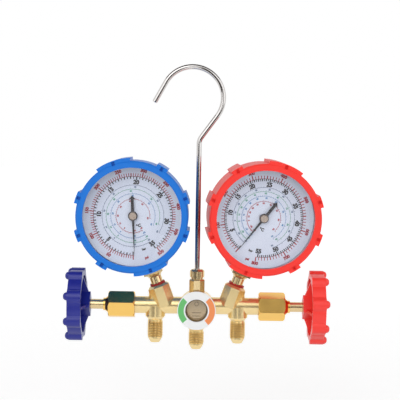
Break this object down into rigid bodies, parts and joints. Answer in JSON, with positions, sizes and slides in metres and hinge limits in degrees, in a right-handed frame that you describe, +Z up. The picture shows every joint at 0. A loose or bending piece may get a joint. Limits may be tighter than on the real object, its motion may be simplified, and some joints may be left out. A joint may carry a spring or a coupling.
{
  "type": "refrigerant manifold gauge",
  "caption": "Twin-gauge refrigerant manifold: blue low-side and red high-side dial gauges in rubber boots on a brass valve body with handwheels, flare ports, sight glass and a swivel hook.",
  "frame": {"origin": "where the hook hangs, at the inside top of its arc", "axes": "+X towards the high-pressure side, -Y towards the user who reads the dials, +Z up along the hook's rod"},
  "size_m": [0.1992, 0.0554, 0.2182],
  "materials": {
    "hook_chrome": "bright chromed steel rod",
    "clip_steel": "spring steel",
    "manifold_brass": "pale polished brass forging",
    "nut_brass": "yellow turned brass",
    "stem_brass": "turned brass",
    "packing": "black packing",
    "seat": "white seat plastic",
    "low_rubber": "smooth blue moulded rubber",
    "high_rubber": "smooth red moulded rubber",
    "low_knob": "dark blue moulded plastic",
    "high_knob": "red moulded plastic",
    "case_steel": "pressed steel",
    "clear": "clear",
    "dial_white": "white painted dial",
    "pointer_black": "matt black",
    "movement_brass": "blanked brass",
    "tube_bronze": "phosphor bronze",
    "ring_steel": "turned ring",
    "label_white": "white printed disc with colour arcs"
  },
  "bodies": {
    "hook": {"hook_rod": "hook_chrome", "hook_retaining_clip": "clip_steel"},
    "manifold": {"hook_fitting": "manifold_brass", "hook_cap_nut": "manifold_brass", "manifold_body": "manifold_brass", "sight_glass_lens": "clear", "sight_glass_ring": "ring_steel", "label_disc": "label_white", "low_bonnet_nut": "nut_brass", "low_packing_ring": "packing", "low_boot": "low_rubber", "low_case": "case_steel", "low_lens": "clear", "low_dial": "dial_white", "low_socket": "nut_brass", "low_bourdon_tube": "tube_bronze", "low_tube_tip": "movement_brass", "low_movement_plate_front": "movement_brass", "low_movement_plate_rear": "movement_brass", "high_bonnet_nut": "nut_brass", "high_packing_ring": "packing", "high_boot": "high_rubber", "high_case": "case_steel", "high_lens": "clear", "high_dial": "dial_white", "high_socket": "nut_brass", "high_bourdon_tube": "tube_bronze", "high_tube_tip": "movement_brass", "high_movement_plate_front": "movement_brass", "high_movement_plate_rear": "movement_brass"},
    "low_seat": {"low_seat_disc": "seat"},
    "low_handwheel": {"low_valve_stem": "stem_brass", "low_handwheel": "low_knob", "low_wheel_screw": "clip_steel"},
    "low_sector": {"low_sector_gear": "movement_brass"},
    "low_link": {"low_link": "movement_brass"},
    "low_pointer": {"low_pointer": "pointer_black", "low_pointer_hub": "movement_brass", "low_pinion_arbor": "movement_brass"},
    "high_seat": {"high_seat_disc": "seat"},
    "high_handwheel": {"high_valve_stem": "stem_brass", "high_handwheel": "high_knob", "high_wheel_screw": "clip_steel"},
    "high_sector": {"high_sector_gear": "movement_brass"},
    "high_link": {"high_link": "movement_brass"},
    "high_pointer": {"high_pointer": "pointer_black", "high_pointer_hub": "movement_brass", "high_pinion_arbor": "movement_brass"}
  },
  "joints": [
    {"name": "hook_swivel", "type": "hinge", "parent": "hook", "child": "manifold", "pos_m": [0.0055, 0, -0.1526], "axis": [0, 0, 1], "continuous": true},
    {"name": "low_valve_travel", "type": "slide", "parent": "manifold", "child": "low_seat", "axis": [-1, 0, 0], "range_m": [0, 0.00376]},
    {"name": "low_valve_turn", "type": "hinge", "parent": "low_seat", "child": "low_handwheel", "pos_m": [-0.0814, 0, -0.1808], "axis": [-1, 0, 0], "range_deg": [0, 1080]},
    {"name": "low_sector_turn", "type": "hinge", "parent": "manifold", "child": "low_sector", "pos_m": [-0.037, 0, -0.13053], "axis": [0, -1, 0], "range_deg": [0, 35.89], "stiffness_Nm_per_rad": 0.02, "springref_deg": -5.73},
    {"name": "low_link_turn", "type": "hinge", "parent": "low_sector", "child": "low_link", "pos_m": [-0.03125, 0, -0.13535], "axis": [0, -1, 0], "range_deg": [-39.13, 0]},
    {"name": "low_pointer_turn", "type": "hinge", "parent": "manifold", "child": "low_pointer", "pos_m": [-0.04384, 0, -0.11173], "axis": [0, 1, 0], "range_deg": [0, 323.01]},
    {"name": "high_valve_travel", "type": "slide", "parent": "manifold", "child": "high_seat", "axis": [1, 0, 0], "range_m": [0, 0.00376]},
    {"name": "high_valve_turn", "type": "hinge", "parent": "high_seat", "child": "high_handwheel", "pos_m": [0.0924, 0, -0.1808], "axis": [1, 0, 0], "range_deg": [0, 1080]},
    {"name": "high_sector_turn", "type": "hinge", "parent": "manifold", "child": "high_sector", "pos_m": [0.048, 0, -0.13053], "axis": [0.0655, -0.9976, -0.0239], "range_deg": [0, 36.78], "stiffness_Nm_per_rad": 0.02, "springref_deg": -5.73},
    {"name": "high_link_turn", "type": "hinge", "parent": "high_sector", "child": "high_link", "pos_m": [0.04929, 0.00026, -0.13791], "axis": [0.0655, -0.9976, -0.0239], "range_deg": [-40.1, 0]},
    {"name": "high_pointer_turn", "type": "hinge", "parent": "manifold", "child": "high_pointer", "pos_m": [0.05484, 0, -0.11173], "axis": [-0.0655, 0.9976, 0.0239], "range_deg": [0, 331.01]}
  ],
  "couplings": [
    {"joint": "low_valve_travel", "follows": "low_valve_turn", "m_per_rad": 0.00019894},
    {"joint": "low_pointer_turn", "follows": "low_sector_turn", "ratio": 9},
    {"joint": "low_link_turn", "follows": "low_sector_turn", "ratio": -1.09},
    {"joint": "high_valve_travel", "follows": "high_valve_turn", "m_per_rad": 0.00019894},
    {"joint": "high_pointer_turn", "follows": "high_sector_turn", "ratio": 9},
    {"joint": "high_link_turn", "follows": "high_sector_turn", "ratio": -1.09}
  ]
}
